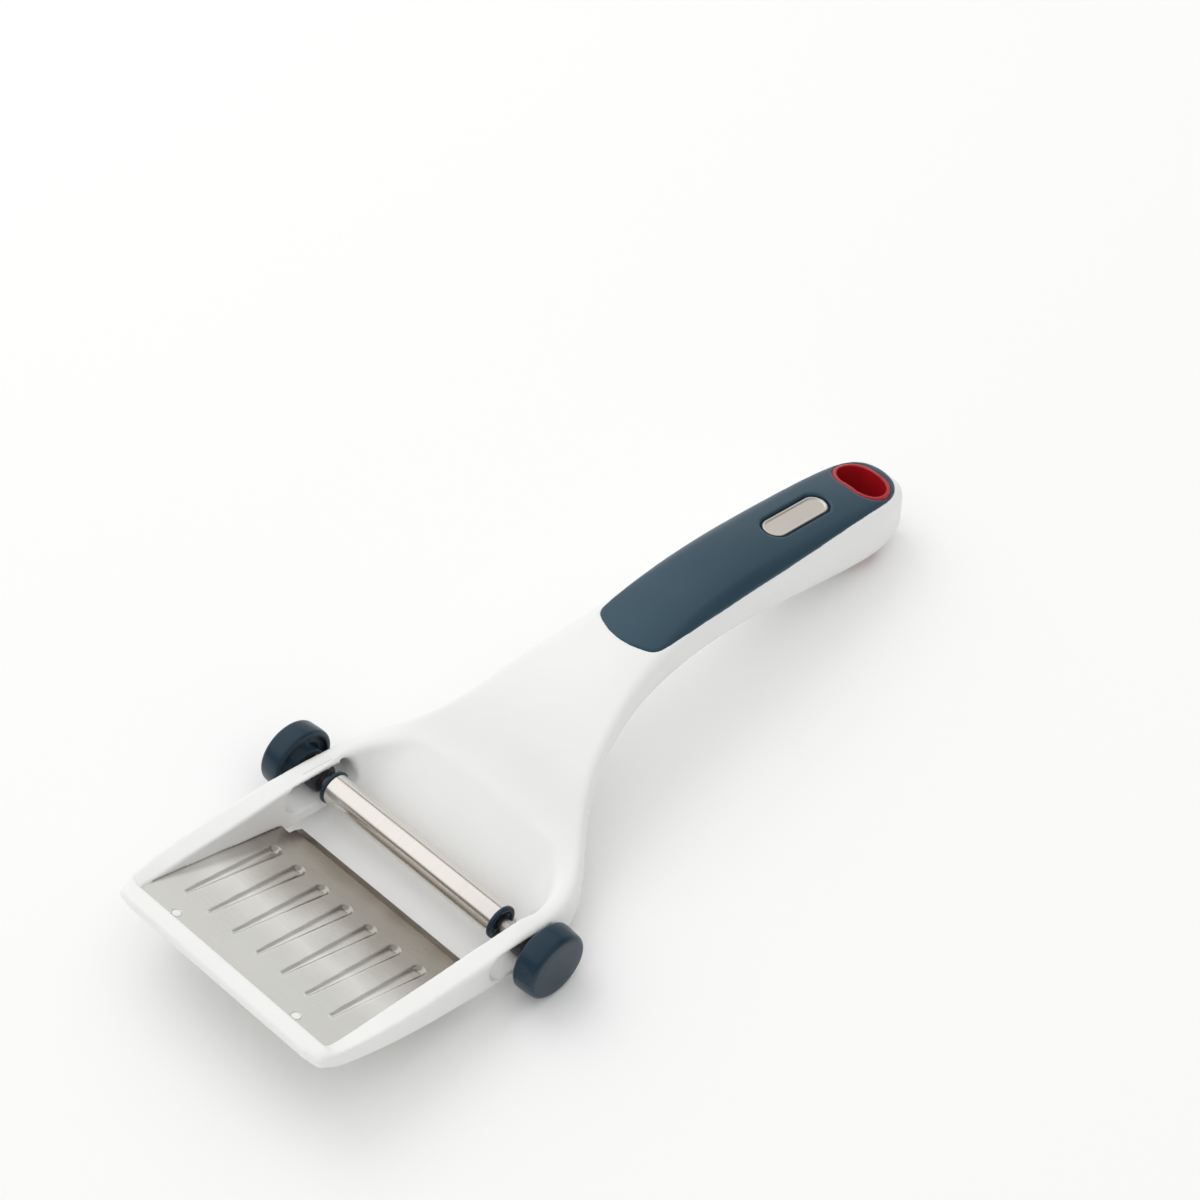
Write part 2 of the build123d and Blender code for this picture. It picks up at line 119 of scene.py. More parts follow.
# %% Moulded plastics
def moulded_plastic(name, colour, deeper_colour, roughness, grain_size, grain_height, shine=0.5):
    """ABS from a mould: two close tones, a gloss that drifts, and the grain of the mould's steel."""
    material, tree, shader = start_material(name)
    place = add_node(tree, "ShaderNodeTexCoord").outputs["Object"]
    waves = add_node(tree, "ShaderNodeTexNoise", {"Scale": 1 / (18 * MM), "Detail": 3.0}, {"Vector": place})
    grain = add_node(tree, "ShaderNodeTexNoise", {"Scale": 1 / grain_size, "Detail": 2.0}, {"Vector": place})
    tone = add_node(tree, "ShaderNodeMix", {"data_type": "RGBA", 6: srgb(colour), 7: srgb(deeper_colour)},
                    {0: waves.outputs["Fac"]})
    gloss = add_node(tree, "ShaderNodeMapRange",
                     {"From Min": 0.3, "From Max": 0.7, "To Min": roughness - 0.05, "To Max": roughness + 0.05},
                     {"Value": waves.outputs["Fac"]})
    skin = add_node(tree, "ShaderNodeBump", {"Strength": 0.35, "Distance": grain_height},
                    {"Height": grain.outputs["Fac"]})
    shader.inputs["IOR"].default_value = 1.54
    shader.inputs["Specular IOR Level"].default_value = shine
    tree.links.new(tone.outputs[2], shader.inputs["Base Color"])
    tree.links.new(gloss.outputs["Result"], shader.inputs["Roughness"])
    tree.links.new(skin.outputs["Normal"], shader.inputs["Normal"])
    return material


white_abs = moulded_plastic("moulded_white_abs", "F3F3F2", "EEEEEC", 0.36, 0.5 * MM, 0.01 * MM)
slate_abs = moulded_plastic("moulded_slate_abs", "193444", "152D3C", 0.3, 0.4 * MM, 0.02 * MM, 0.3)
dark_abs = moulded_plastic("moulded_dark_abs", "2A2E33", "22262A", 0.45, 0.5 * MM, 0.03 * MM)
red_abs = moulded_plastic("moulded_red_abs", "B51822", "A3121B", 0.3, 0.5 * MM, 0.015 * MM)
print("plastics made:", [m.name for m in (white_abs, slate_abs, dark_abs, red_abs)])

# %% [markdown]
# ## The soft grip's rubber
#
# The grip is a thermoplastic elastomer, moulded over the handle. It looks softer than ABS: its gloss is
# broad, and its skin has a fine leathery grain. The rubber is dark, so most of what the eye sees of it is
# that broad gloss, which takes a little of the rubber's own blue.

# %% Soft grip rubber
slate_tpe, tree, shader = start_material("soft_slate_tpe")
place = add_node(tree, "ShaderNodeTexCoord").outputs["Object"]
patches = add_node(tree, "ShaderNodeTexNoise", {"Scale": 1 / (22 * MM), "Detail": 4.0}, {"Vector": place})
pores = add_node(tree, "ShaderNodeTexNoise", {"Scale": 1 / (0.45 * MM), "Detail": 3.0}, {"Vector": place})
tone = add_node(tree, "ShaderNodeMix", {"data_type": "RGBA", 6: srgb("1D3848"), 7: srgb("1A3342")},
                {0: patches.outputs["Fac"]})
dull = add_node(tree, "ShaderNodeMapRange", {"From Min": 0.3, "From Max": 0.7, "To Min": 0.34, "To Max": 0.42},
                {"Value": patches.outputs["Fac"]})
skin = add_node(tree, "ShaderNodeBump", {"Strength": 0.5, "Distance": 0.03 * MM},
                {"Height": pores.outputs["Fac"]})
shader.inputs["IOR"].default_value = 1.5
shader.inputs["Specular IOR Level"].default_value = 1.0
shader.inputs["Specular Tint"].default_value = srgb("C4E6F5")
tree.links.new(tone.outputs[2], shader.inputs["Base Color"])
tree.links.new(dull.outputs["Result"], shader.inputs["Roughness"])
tree.links.new(skin.outputs["Normal"], shader.inputs["Normal"])

# %% [markdown]
# ## Steels and brass
#
# Five metal pieces, three ways of working them. The plate is rolled sheet, brushed across the tool, so its
# grain is a noise stretched along X. The roller and the axle are turned and polished, so their faint lines
# run round them: a noise that is fine along X and slow the other two ways. The brushing grain on a real
# sheet is near 0.1 mm, too fine to show here, so it is drawn at 0.3 mm.
#
# The sheet's colour also carries a painted reflection along its length. It is bright in front, with a painted
# white highlight band across the middle, and darker and browner towards the edge at its rear, which has been
# ground: painted shade for the shaded roller and basin that the rear of the sheet mirrors. A colour ramp along Y
# draws that, and a slow noise moves the ramp by up to 4 mm either way, so that no straight line shows.

# %% Worked metals
def worked_metal(name, colour, deeper_colour, roughness, spread, line_size, line_height):
    """A metal whose working marks are as long and wide as line_size says, in millimetres each way."""
    material, tree, shader = start_material(name)
    place = add_node(tree, "ShaderNodeTexCoord").outputs["Object"]
    drawn = add_node(tree, "ShaderNodeMapping", {"Scale": [1 / (size * MM) for size in line_size]},
                     {"Vector": place})
    lines = add_node(tree, "ShaderNodeTexNoise", {"Scale": 1.0, "Detail": 3.0}, {"Vector": drawn.outputs[0]})
    clouds = add_node(tree, "ShaderNodeTexNoise", {"Scale": 1 / (14 * MM), "Detail": 2.0}, {"Vector": place})
    tone = add_node(tree, "ShaderNodeMix", {"data_type": "RGBA", 6: srgb(colour), 7: srgb(deeper_colour)},
                    {0: lines.outputs["Fac"]})
    both = add_node(tree, "ShaderNodeMath", {"operation": "ADD"},
                    {0: lines.outputs["Fac"], 1: clouds.outputs["Fac"]})
    gloss = add_node(tree, "ShaderNodeMapRange",
                     {"From Min": 0.7, "From Max": 1.3,
                      "To Min": roughness - spread, "To Max": roughness + spread},
                     {"Value": both.outputs[0]})
    skin = add_node(tree, "ShaderNodeBump", {"Strength": 0.4, "Distance": line_height * MM},
                    {"Height": lines.outputs["Fac"]})
    shader.inputs["Metallic"].default_value = 1.0
    tree.links.new(tone.outputs[2], shader.inputs["Base Color"])
    tree.links.new(gloss.outputs["Result"], shader.inputs["Roughness"])
    tree.links.new(skin.outputs["Normal"], shader.inputs["Normal"])
    return material


steel_sheet = worked_metal("brushed_stainless_sheet", "F8F7F4", "F0EFEB", 0.25, 0.03, (30, 0.3, 0.3), 0.0015)
roller_steel = worked_metal("polished_stainless_tube", "E4E0DA", "DCD8D1", 0.19, 0.03, (0.4, 30, 30), 0.001)
rod_steel = worked_metal("turned_stainless_rod", "B9B5AF", "ABA7A0", 0.3, 0.06, (0.4, 20, 20), 0.004)
badge_steel = worked_metal("satin_badge_steel", "E6E1D9", "DAD4CB", 0.36, 0.06, (0.3, 12, 12), 0.006)
brass = worked_metal("turned_brass", "CBA65A", "BD974B", 0.3, 0.06, (0.4, 20, 20), 0.006)
print("metals made:", [m.name for m in (steel_sheet, roller_steel, rod_steel, badge_steel, brass)])

# %% Painted reflection along the sheet, darker and browner towards its ground edge
front_y, ground_y, drift = -128.5 * MM, -73.0 * MM, 4 * MM
sheet_tree = steel_sheet.node_tree
sheet_shader = sheet_tree.nodes["Principled BSDF"]
sheet_tone = sheet_shader.inputs["Base Color"].links[0].from_socket
place = add_node(sheet_tree, "ShaderNodeTexCoord").outputs["Object"]
along = add_node(sheet_tree, "ShaderNodeSeparateXYZ", (), {0: place})
clouds = add_node(sheet_tree, "ShaderNodeTexNoise", {"Scale": 1 / (11 * MM), "Detail": 1.0}, {"Vector": place})
drifted = add_node(sheet_tree, "ShaderNodeMapRange", {"To Min": -drift, "To Max": drift},
                   {"Value": clouds.outputs["Fac"]})
uneven = add_node(sheet_tree, "ShaderNodeMath", {"operation": "ADD"},
                  {0: along.outputs["Y"], 1: drifted.outputs["Result"]})
share = add_node(sheet_tree, "ShaderNodeMapRange", {"From Min": front_y, "From Max": ground_y},
                 {"Value": uneven.outputs[0]})
# Painted reflection: a white highlight band in the middle, and painted shade that turns darker and browner
# towards the rear.
painted_reflection_ramp = add_node(sheet_tree, "ShaderNodeValToRGB", (), {"Fac": share.outputs["Result"]})
painted_reflection_ramp.color_ramp.elements[0].color = srgb("F8F9F7")
painted_reflection_ramp.color_ramp.elements[1].color = srgb("8E8277")
for position, colour in ((0.3, "F4F5F3"), (0.46, "FFFFFF"), (0.6, "DEDCD9"), (0.72, "BDB9B4"),
                         (0.86, "B2ADA5")):
    painted_reflection_ramp.color_ramp.elements.new(position).color = srgb(colour)
# The painted reflection multiplies the sheet's own brushed tone.
ground = add_node(sheet_tree, "ShaderNodeMix", {"data_type": "RGBA", "blend_type": "MULTIPLY", 0: 1.0},
                  {6: sheet_tone, 7: painted_reflection_ramp.outputs["Color"]})
sheet_tree.links.new(ground.outputs[2], sheet_shader.inputs["Base Color"])

# %% [markdown]
# ## From a construction solid to a soft-edged skin
#
# The construction solids have knife-sharp edges, but a moulded part never has: the mould is cut with small
# radii, and edges that meet a hand are rolled. A bevel needs clean quads, and these meshes are long thin
# triangles, so the skin is first rebuilt as an even net of small squares by the voxel Remesh modifier.
# Smoothing then rounds every sharp edge by about a square's width, and more passes in one place make a
# bigger roll there.

# %% Skins
def open_solid(node_name):
    """A construction node's loose triangles, merged into one skin."""
    bm = bmesh.new()
    bm.from_mesh(nodes[node_name].data)
    bmesh.ops.remove_doubles(bm, verts=bm.verts, dist=0.001 * MM)
    return bm


def even_net(bm, square):
    """The same skin as an even net of squares this wide."""
    rough = bpy.data.meshes.new("rough_skin")
    bm.to_mesh(rough)
    bm.free()
    holder = bpy.data.objects.new("rough_skin", rough)
    bpy.context.scene.collection.objects.link(holder)
    remesh = holder.modifiers.new("net", "REMESH")
    remesh.mode = "VOXEL"
    remesh.voxel_size = square
    graph = bpy.context.evaluated_depsgraph_get()
    fine = bpy.data.meshes.new_from_object(holder.evaluated_get(graph))
    net = bmesh.new()
    net.from_mesh(fine)
    bpy.data.objects.remove(holder)
    bpy.data.meshes.remove(rough)
    bpy.data.meshes.remove(fine)
    return net


def smooth(bm, verts, passes, factor=0.5):
    """Rounds the net where these vertices are: each pass moves them towards their neighbours' middle."""
    for _ in range(passes):
        bmesh.ops.smooth_vert(bm, verts=verts, factor=factor, use_axis_x=True, use_axis_y=True,
                              use_axis_z=True)


def close_piece(name, bm, material):
    """The finished skin as a smooth-shaded object at the origin."""
    mesh = bpy.data.meshes.new(name)
    for face in bm.faces:
        face.smooth = True
    bm.to_mesh(mesh)
    bm.free()
    mesh.materials.append(material)
    piece = bpy.data.objects.new(name, mesh)
    bpy.context.scene.collection.objects.link(piece)
    triangles = sum(len(polygon.vertices) - 2 for polygon in mesh.polygons)
    print(name, "triangles:", triangles)
    return piece


# %% [markdown]
# ## The white frame
#
# On the real tool the frame is one moulding. Its opening has a soft roll where the basin behind the roller
# turns into the top, so that food rinses off, while the arms keep tighter edges. Where to roll is found
# from the construction mesh itself: its sharp outward edges are sampled, those round the basin in one tree
# and those along the arms in another, and the net is smoothed most close to them.

# %% Frame: find the edges to roll
solid = open_solid("frame_body")
head_tilt = math.radians(12.5)


def above_axle(point):
    """A point's height above the axle, square to the sloping head."""
    return (point.y - axle_y) * math.sin(head_tilt) + (point.z - axle_z) * math.cos(head_tilt)


def sampled_edges(wanted):
    """A tree of points every half millimetre along the solid's sharp outward edges that are wanted."""
    points = []
    for edge in solid.edges:
        middle = (edge.verts[0].co + edge.verts[1].co) / 2
        if (len(edge.link_faces) == 2 and wanted(middle)
                and edge.calc_face_angle_signed() > math.radians(25)):
            steps = max(1, int(edge.calc_length() / (0.5 * MM)))
            points += [edge.verts[0].co.lerp(edge.verts[1].co, step / steps)
                       for step in range(steps + 1)]
    points_tree = KDTree(len(points))
    for number, point in enumerate(points):
        points_tree.insert(point, number)
    points_tree.balance()
    print("points along the edges:", len(points))
    return points_tree


basin_rim = sampled_edges(lambda p: axle_y < p.y < axle_y + 34 * MM and abs(p.x) < 42 * MM
                          and above_axle(p) > 1.6 * MM)
arm_brow = sampled_edges(lambda p: p.y < axle_y + 14 * MM and abs(p.x) > 37.5 * MM
                         and above_axle(p) > 0.5 * MM
                         and abs(p.x) > 42.2 * MM - max(0, axle_y - 50 * MM - p.y) * 0.3)

# %% [markdown]
# The handle is built of three solids, and only their common outside shows. So the net is made from the
# frame, the grip and the plug inside it together, and what lies inside is dropped. The grip goes in half
# a millimetre low, which leaves a shallow bed that the real grip, a piece of its own, then covers. Two
# blocks fill the groove that holds the front of the plate, because a net would close it unevenly. By the
# slots in the arms the walls are thin, so there the net is smoothed less. The front corners are rolled
# last and most, to about 5 mm.

# %% Frame: net and rolls
sheet_slope = math.radians(19.1)
sheet_origin = Vector((0, axle_y - 64.4 * MM, 24.9 * MM))
sheet_place = Matrix.Translation(sheet_origin) @ Matrix.Rotation(-sheet_slope, 4, "X")
outside = bmesh.new()
for node_name, drop in (("frame_body", 0.0), ("grip_pad", 0.55 * MM), ("grip_core", 0.0)):
    layer = nodes[node_name].data.copy()
    layer.transform(Matrix.Translation((0, 0, -drop)))
    outside.from_mesh(layer)
    bpy.data.meshes.remove(layer)
groove_width = 77 * MM
for front, rear, low, high in ((-5.2, -2.36, -1.3, 0.3), (-2.4, 2.6, -1.3, -0.6)):
    fill = sheet_place @ Matrix.Translation((0, (front + rear) / 2 * MM, (low + high) / 2 * MM))
    fill = fill @ Matrix.Diagonal((groove_width, (rear - front) * MM, (high - low) * MM, 1))
    bmesh.ops.create_cube(outside, size=1.0, matrix=fill)
frame_net = even_net(outside, 0.42 * MM)


def keep_outer_skin(bm):
    """Drops every loose inner skin and keeps the one with the most faces."""
    left = set(bm.faces)
    skins = []
    while left:
        start = left.pop()
        skin, edge_of = [start], [start]
        while edge_of:
            face = edge_of.pop()
            for edge in face.edges:
                for other in edge.link_faces:
                    if other in left:
                        left.remove(other)
                        skin.append(other)
                        edge_of.append(other)
        skins.append(skin)
    skins.sort(key=len)
    for skin in skins[:-1]:
        bmesh.ops.delete(bm, geom=skin, context="FACES")
    print("skins found:", len(skins), "faces kept:", len(bm.faces))


keep_outer_skin(frame_net)
by_slots = [vert for vert in frame_net.verts
            if abs(vert.co.x) > 34 * MM and abs(vert.co.y - axle_y) < 17 * MM]
smooth(frame_net, by_slots, 2)
smooth(frame_net, list(set(frame_net.verts) - set(by_slots)), 5)
rim_reach, brow_reach, corner_reach = {}, {}, {}
for vert in frame_net.verts:
    behind = max(0.0, min(1.0, (vert.co.y - axle_y - 1 * MM) / (12 * MM)))
    if behind > 0 and vert.co.y < axle_y + 42 * MM:
        rim_reach[vert] = basin_rim.find(vert.co)[2] / behind
    if vert.co.y < axle_y + 16 * MM and abs(vert.co.x) > 34 * MM:
        brow_reach[vert] = arm_brow.find(vert.co)[2]
    if vert.co.y < axle_y - 62 * MM and abs(vert.co.x) > 30 * MM:
        corner_reach[vert] = math.hypot(abs(vert.co.x) - 39.3 * MM, vert.co.y - axle_y + 71.5 * MM)
for reach, width, passes in ((rim_reach, 3.4 * MM, 22), (rim_reach, 2.3 * MM, 18),
                             (rim_reach, 1.5 * MM, 12), (brow_reach, 1.5 * MM, 10),
                             (brow_reach, 0.9 * MM, 6), (corner_reach, 5.5 * MM, 40),
                             (corner_reach, 3.5 * MM, 30)):
    near = [vert for vert, away_by in reach.items() if away_by < width]
    smooth(frame_net, near, passes)
    print("rolled within", round(width / MM, 1), "mm:", len(near), "vertices")
frame_shell = close_piece("frame_shell", frame_net, white_abs)


def thin_out(piece, most_triangles):
    """Merges the smallest squares of a piece until it has no more triangles than this."""
    triangles = sum(len(polygon.vertices) - 2 for polygon in piece.data.polygons)
    fewer = piece.modifiers.new("fewer", "DECIMATE")
    fewer.ratio = min(1.0, most_triangles / triangles)
    thinned = bpy.data.meshes.new_from_object(piece.evaluated_get(bpy.context.evaluated_depsgraph_get()))
    piece.modifiers.clear()
    piece.data = thinned
    print(piece.name, "thinned to:", sum(len(polygon.vertices) - 2 for polygon in thinned.polygons))


thin_out(frame_shell, 185000)

# %% [markdown]
# ## The soft grip
#
# On the real tool the grip stands a hair proud of the white plastic, with a rolled lip. Its construction
# solid thins to a feather along its sides, which no net can follow, so the solid is laid under itself
# twice, a little lower each time. That gives it a full lip, and its outline stays as it was. Then the net
# is pushed out by an eighth of a millimetre.

# %% Grip
grip_stack = bmesh.new()
for drop in (0.0, 0.6 * MM, 1.2 * MM):
    layer = nodes["grip_pad"].data.copy()
    layer.transform(Matrix.Translation((0, 0, -drop)))
    grip_stack.from_mesh(layer)
    bpy.data.meshes.remove(layer)
grip_net = even_net(grip_stack, 0.4 * MM)
keep_outer_skin(grip_net)
smooth(grip_net, grip_net.verts, 5)
grip_net.normal_update()
for vert in grip_net.verts:
    vert.co += vert.normal * 0.13 * MM
soft_grip = close_piece("soft_grip", grip_net, slate_tpe)
thin_out(soft_grip, 120000)

# %% [markdown]
# ## Ring and badge
#
# The hanging hole is lined with a red ring whose rim is rounded by hand-size radii, and the badge is a
# stamped steel plate with a thin raised rim, left bare. Both are small, so a finer net keeps their rims.

# %% Ring and badge
ring_net = even_net(open_solid("hang_ring"), 0.28 * MM)
smooth(ring_net, ring_net.verts, 5)
hole_ring = close_piece("hole_ring", ring_net, red_abs)
badge_net = even_net(open_solid("badge"), 0.15 * MM)
smooth(badge_net, badge_net.verts, 3)
bare_badge = close_piece("bare_badge", badge_net, badge_steel)

# %% [markdown]
# ## The fluted plate
#
# The plate is a millimetre of stainless sheet with seven drop-shaped channels pressed into it, which let
# air under the slice so that cheese doesn't stick. A press leaves rims as soft as the sheet is thick, so
# the channels aren't cut: a fine grid is pressed down by a smooth formula, then given its thickness, and
# the rear edge is ground down to a blade.

# %% Plate: its sizes, measured along the sheet from the line of its two holes
sheet_half, blade_half = 38.4 * MM, 31.8 * MM
sheet_front, step_line, blade_line = -5.08 * MM, 48.68 * MM, 53.65 * MM
sheet_thick, ground_width, edge_land = 1.0 * MM, 3.0 * MM, 0.12 * MM
flute_count, flute_pitch = 7, 9.4 * MM
tip_line, end_line = 7.95 * MM, 39.7 * MM
tip_half, end_half = 0.6 * MM, 1.95 * MM
tip_depth, end_depth = 0.3 * MM, 1.0 * MM


def pressed_depth(x, along):
    """How deep a channel is pressed at this place on the sheet, with a soft rim."""
    number = max(-(flute_count // 2), min(flute_count // 2, round(x / flute_pitch)))
    part = max(0.0, min(1.0, (along - tip_line) / (end_line - tip_line)))
    half = tip_half + part * (end_half - tip_half)
    late = max(0.0, min(1.0, (part - 0.66) / 0.34))
    depth = tip_depth + (0.3 * part + 0.7 * late * late) * (end_depth - tip_depth)
    off = math.hypot(x - number * flute_pitch, along - tip_line - part * (end_line - tip_line)) / half
    inside = 1 - off ** 4
    rim = 0.14
    return depth * (inside + math.sqrt(inside * inside + rim * rim)) / 2


# %% Plate: grid, outline, channels and thickness
sheet = bmesh.new()
square = 0.34 * MM
bmesh.ops.create_grid(sheet, x_segments=round(2 * sheet_half / square),
                      y_segments=round((blade_line - sheet_front) / square), size=0.5)
bmesh.ops.scale(sheet, vec=(2 * sheet_half, blade_line - sheet_front, 1), verts=sheet.verts)
bmesh.ops.translate(sheet, vec=(0, (blade_line + sheet_front) / 2, 0), verts=sheet.verts)
for point, normal in (((blade_half, 0, 0), (1, 0, 0)), ((-blade_half, 0, 0), (1, 0, 0)),
                      ((0, step_line, 0), (0, 1, 0)), ((0, blade_line - ground_width, 0), (0, 1, 0))):
    bmesh.ops.bisect_plane(sheet, geom=sheet.verts[:] + sheet.edges[:] + sheet.faces[:], plane_co=point,
                           plane_no=normal, dist=0.01 * MM)
corners = [face for face in sheet.faces
           if abs(face.calc_center_median().x) > blade_half and face.calc_center_median().y > step_line]
bmesh.ops.delete(sheet, geom=corners, context="FACES")
under = sheet.verts[:]
pressed = bmesh.ops.extrude_face_region(sheet, geom=sheet.faces[:], use_keep_orig=True)
upper = [item for item in pressed["geom"] if isinstance(item, bmesh.types.BMVert)]
for vert in sheet.verts:
    vert.co.z -= pressed_depth(vert.co.x, vert.co.y)
for vert in under:
    vert.co.z -= sheet_thick
for vert in upper:
    ground = max(0.0, vert.co.y - (blade_line - ground_width)) / ground_width
    vert.co.z -= ground * (sheet_thick - edge_land)
bmesh.ops.recalc_face_normals(sheet, faces=sheet.faces)

# %% Plate: break its sharp edges, except the blade's
sharp = [edge for edge in sheet.edges if len(edge.link_faces) == 2
         and edge.calc_face_angle() > math.radians(50)
         and min(vert.co.y for vert in edge.verts) < blade_line - ground_width]
bmesh.ops.bevel(sheet, geom=sharp, offset=0.14 * MM, offset_type="OFFSET", segments=2, profile=0.5,
                affect="EDGES", material=-1)
sheet.transform(sheet_place)
fluted_plate = close_piece("fluted_plate", sheet, steel_sheet)

# %% [markdown]
# ## The plate's holes and stakes
#
# Two small posts of the frame stand through holes in the sheet and hold it. The holes are cut with a
# Boolean, which keeps their walls square, and the posts' heads are turned shapes: half of their outline
# is drawn once and spun round their own axis.

# %% Holes in the plate
hole_places = [sheet_place @ Vector((side * 23.2 * MM, 0, 0)) for side in (-1, 1)]
hole_radius = 1.4 * MM
lean = sheet_place.to_quaternion().to_matrix().to_4x4()
drills = bmesh.new()
for place in hole_places:
    bmesh.ops.create_cone(drills, cap_ends=True, segments=48, radius1=hole_radius, radius2=hole_radius,
                          depth=6 * MM, matrix=Matrix.Translation(place) @ lean)
drill_mesh = bpy.data.meshes.new("drills")
drills.to_mesh(drill_mesh)
drills.free()
drill = bpy.data.objects.new("drills", drill_mesh)
bpy.context.scene.collection.objects.link(drill)
cut = fluted_plate.modifiers.new("holes", "BOOLEAN")
cut.operation, cut.solver, cut.object = "DIFFERENCE", "EXACT", drill
graph = bpy.context.evaluated_depsgraph_get()
drilled = bpy.data.meshes.new_from_object(fluted_plate.evaluated_get(graph))
fluted_plate.modifiers.clear()
fluted_plate.data = drilled
bpy.data.objects.remove(drill)
print("faces in the drilled plate:", len(drilled.polygons))

# %% Turned shapes
def turn(outline, soft, across=Matrix(), steps=96):
    """A shape spun round the X axis. The outline is (along, radius) points in millimetres; soft gives
    the edge radius at some of them, by their number in the outline."""
    bm = bmesh.new()
    verts = [bm.verts.new((along * MM, 0, radius * MM)) for along, radius in outline]
    for first, second in zip(verts, verts[1:]):
        bm.edges.new((first, second))
    if outline[0][1] > 0:
        bm.edges.new((verts[-1], verts[0]))
    bmesh.ops.spin(bm, geom=bm.verts[:] + bm.edges[:], cent=(0, 0, 0), axis=(1, 0, 0), angle=math.tau,
                   steps=steps, use_merge=True)
    bmesh.ops.remove_doubles(bm, verts=bm.verts, dist=0.001 * MM)
    bmesh.ops.recalc_face_normals(bm, faces=bm.faces)
    for number, radius in soft.items():
        along, out = outline[number][0] * MM, outline[number][1] * MM
        ring = [edge for edge in bm.edges
                if all(abs(v.co.x - along) < 0.01 * MM and abs(math.hypot(v.co.y, v.co.z) - out) < 0.02 * MM
                       for v in edge.verts)]
        bmesh.ops.bevel(bm, geom=ring, offset=radius * MM, offset_type="OFFSET", segments=6, profile=0.5,
                        affect="EDGES", material=-1)
    bm.transform(across)
    bmesh.ops.recalc_face_normals(bm, faces=bm.faces)
    return bm


# %% Stake heads
stake_heads = bmesh.new()
upright = Matrix.Rotation(-math.pi / 2, 4, "Y")
for place in hole_places:
    head = turn([(-1.4, 0), (-1.4, 1.34), (0.16, 1.34), (0.2, 0)], {2: 0.3},
                Matrix.Translation(place) @ lean @ upright, 40)
    part = bpy.data.meshes.new("stake_head")
    head.to_mesh(part)
    head.free()
    stake_heads.from_mesh(part)
    bpy.data.meshes.remove(part)
plate_stakes = close_piece("plate_stakes", stake_heads, white_abs)

# %% [markdown]
# ## Roller, caps and knobs
#
# These are all round the axle, so each is half an outline spun round it. The roller is a polished tube, its
# caps are slate rings with a dished face, and each knob is a thick button: dished where it faces the arm,
# drawn in a little towards its outer face, with soft edges for the thumb. The slider blocks are the only
# ones that aren't round: short rounded bars with a bore for the axle, which run in the arms' slots.

# %% Roller and caps
on_axle = Matrix.Translation(Vector((0, axle_y, axle_z)))
roller_left, roller_right = -33.25, 30.95
roller_skin = turn([(roller_left, 4.0), (roller_left, 4.6), (roller_right, 4.6), (roller_right, 4.0)],
                   {1: 0.15, 2: 0.15}, on_axle, 128)
roller_sleeve = close_piece("roller_sleeve", roller_skin, roller_steel)
cap_pieces = {}
for word, face, side in (("left", roller_left, -1), ("right", roller_right, 1)):
    outline = [(face - side * 7.0, 2.05), (face - side * 7.0, 4.0), (face, 4.0), (face, 5.05),
               (face + side * 1.2, 5.05), (face + side * 1.2, 3.7), (face + side * 0.6, 3.7),
               (face + side * 0.6, 2.05)]
    cap_pieces[word] = close_piece(f"end_cap_{word}", turn(outline, {3: 0.3, 4: 0.5, 5: 0.2}, on_axle), slate_abs)

# %% Slider blocks
slider_pieces, ring_steps = {}, 96
for word, side in (("left", -1), ("right", 1)):
    block = bmesh.new()
    rings = []
    for across, radius, straight in ((37.2, 3.95, 0.4), (43.3, 3.95, 0.4), (43.3, 2.03, 0), (37.2, 2.03, 0)):
        ring = []
        for step in range(ring_steps):
            turned = math.tau * (step + 0.5) / ring_steps
            reach = math.copysign(straight, math.cos(turned)) + radius * math.cos(turned)
            ring.append(block.verts.new((across * MM, reach * MM, radius * math.sin(turned) * MM)))
        rings.append(ring)
    for ring, following in zip(rings, rings[1:] + rings[:1]):
        for step in range(ring_steps):
            block.faces.new((ring[step], ring[step - 1], following[step - 1], following[step]))
    bmesh.ops.recalc_face_normals(block, faces=block.faces)
    for ring, radius in ((set(rings[0]), 1.05), (set(rings[1]), 0.3)):
        edges = [edge for edge in block.edges if all(vert in ring for vert in edge.verts)]
        bmesh.ops.bevel(block, geom=edges, offset=radius * MM, offset_type="OFFSET", segments=4, profile=0.5,
                        affect="EDGES", material=-1)
    block.transform(on_axle @ Matrix.Rotation(-head_tilt, 4, "X") @ Matrix.Scale(side, 4, (1, 0, 0)))
    bmesh.ops.recalc_face_normals(block, faces=block.faces)
    slider_pieces[word] = close_piece(f"slider_{word}", block, dark_abs)

# %% Knobs
knob_pieces = {}
knob_outline = [(50.7, 0), (50.7, 3.5), (45.2, 3.5), (45.2, 4.2), (44.2, 4.2), (44.2, 5.5), (47.8, 5.5),
                (47.8, 8.6), (46.0, 8.6), (46.0, 10.4), (48.4, 10.4), (53.4, 10.0), (53.5, 6.0), (53.5, 0)]
knob_soft = {5: 0.3, 8: 0.3, 9: 1.1, 11: 1.4}
for word, side in (("left", -1), ("right", 1)):
    button = turn(knob_outline, knob_soft, on_axle @ Matrix.Scale(side, 4, (1, 0, 0)), 128)
    knob_pieces[word] = close_piece(f"thumb_knob_{word}", button, slate_abs)

# %% [markdown]
# ## The thickness mark
#
# On the left arm, beside the knob, a long thin wedge is moulded into the top: thin for a thin slice, wide
# for a thick one. It stands a tenth of a millimetre above the plastic, so it is drawn flat, dropped on to
# the frame's skin point by point, and given its height.

